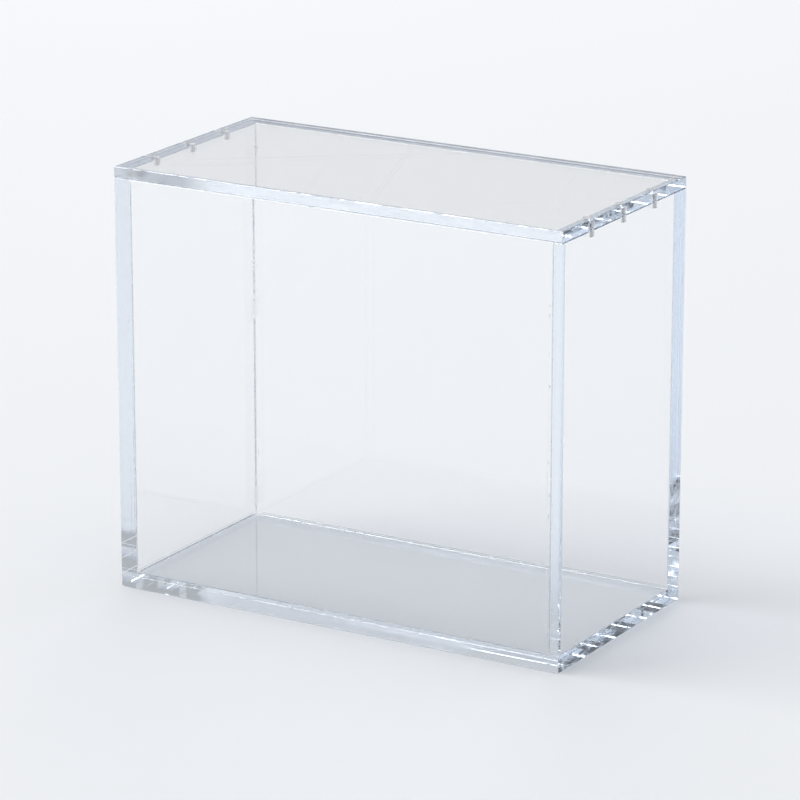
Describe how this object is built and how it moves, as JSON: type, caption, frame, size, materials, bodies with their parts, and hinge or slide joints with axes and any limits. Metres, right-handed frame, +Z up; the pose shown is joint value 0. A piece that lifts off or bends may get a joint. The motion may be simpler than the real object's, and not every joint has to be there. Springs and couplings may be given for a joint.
{
  "type": "acrylic display case",
  "caption": "Clear acrylic display case of flat cemented panels on a thick base, with a flat lift-off lid held by small round magnets let into the rim.",
  "frame": {"origin": "centre of the base's underside, on the surface that the case stands on", "axes": "+X along the width to the right, -Y out of the front, +Z up"},
  "size_m": [0.204, 0.102, 0.177],
  "materials": {
    "clear_acrylic": "clear cast acrylic sheet, polished faces and edges",
    "nickel_plate": "bright nickel plate",
    "clear_cement": "clear cured cement"
  },
  "bodies": {
    "case": {"base_panel": "clear_acrylic", "left_panel": "clear_acrylic", "right_panel": "clear_acrylic", "front_panel": "clear_acrylic", "back_panel": "clear_acrylic", "wall_magnet_left_front": "nickel_plate", "wall_magnet_left_middle": "nickel_plate", "wall_magnet_left_back": "nickel_plate", "wall_magnet_right_front": "nickel_plate", "wall_magnet_right_middle": "nickel_plate", "wall_magnet_right_back": "nickel_plate", "seam_front_left": "clear_cement", "seam_front_right": "clear_cement", "seam_back_left": "clear_cement", "seam_back_right": "clear_cement", "seam_base_front": "clear_cement", "seam_base_back": "clear_cement", "seam_base_left": "clear_cement", "seam_base_right": "clear_cement"},
    "lid": {"lid_panel": "clear_acrylic", "lid_magnet_left_front": "nickel_plate", "lid_magnet_left_middle": "nickel_plate", "lid_magnet_left_back": "nickel_plate", "lid_magnet_right_front": "nickel_plate", "lid_magnet_right_middle": "nickel_plate", "lid_magnet_right_back": "nickel_plate"}
  },
  "joints": [
    {"name": "lid_lift", "type": "slide", "parent": "case", "child": "lid", "axis": [0, 0, 1], "range_m": [0, 0.2]}
  ]
}
